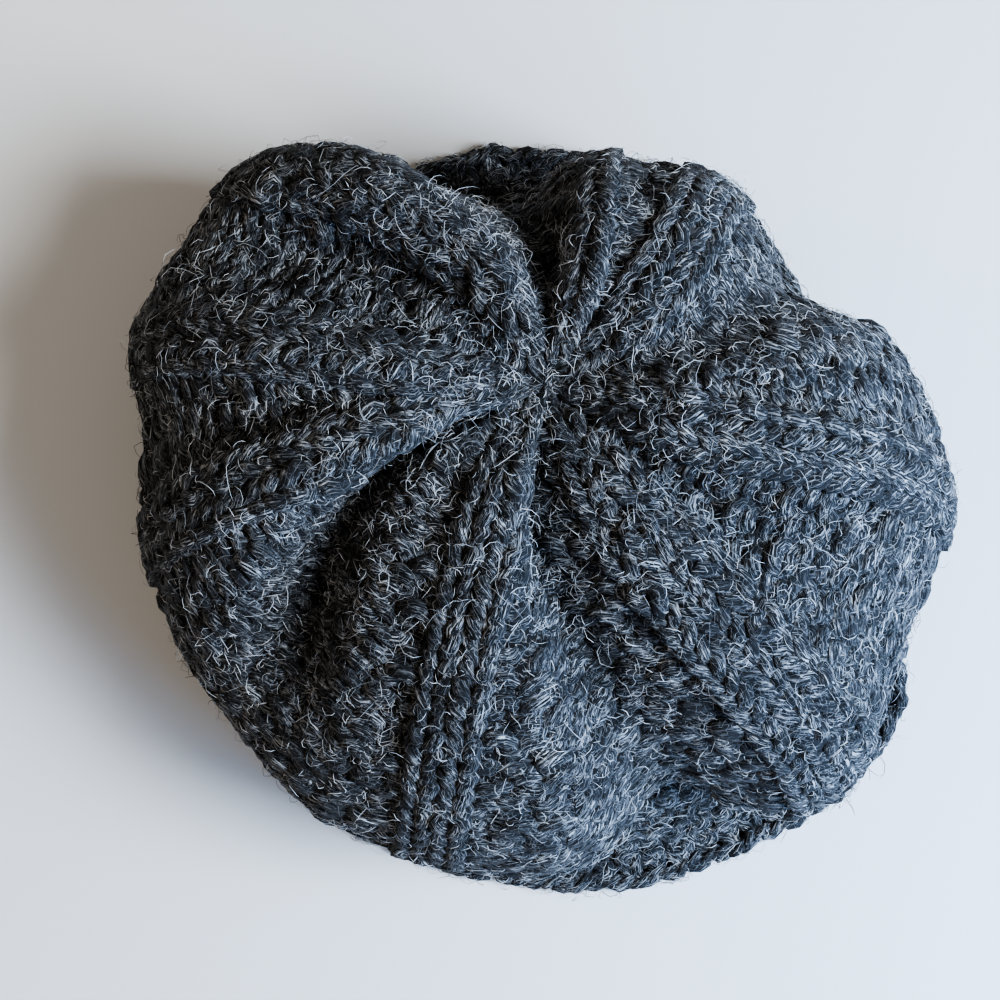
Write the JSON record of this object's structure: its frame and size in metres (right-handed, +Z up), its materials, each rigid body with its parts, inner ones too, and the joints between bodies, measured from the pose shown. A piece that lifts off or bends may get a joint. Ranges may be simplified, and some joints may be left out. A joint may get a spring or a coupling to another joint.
{
  "type": "cloche hat",
  "caption": "Slouchy hand-knitted charcoal wool cloche hat: a ribbed crown gathered off centre into deep folds, on a short flared brim.",
  "frame": {"origin": "middle of the hat's box, on the surface that the hem rests on", "axes": "+Z up out of the crown, +X the hat's longest way, and the gather lies off centre towards +Y"},
  "size_m": [0.194, 0.1842, 0.0847],
  "materials": {
    "charcoal_wool": "matte heathered bulky wool, fuzzy"
  },
  "bodies": {
    "root": {"ribbed_crown": "charcoal_wool", "brim_band": "charcoal_wool"}
  },
  "joints": []
}
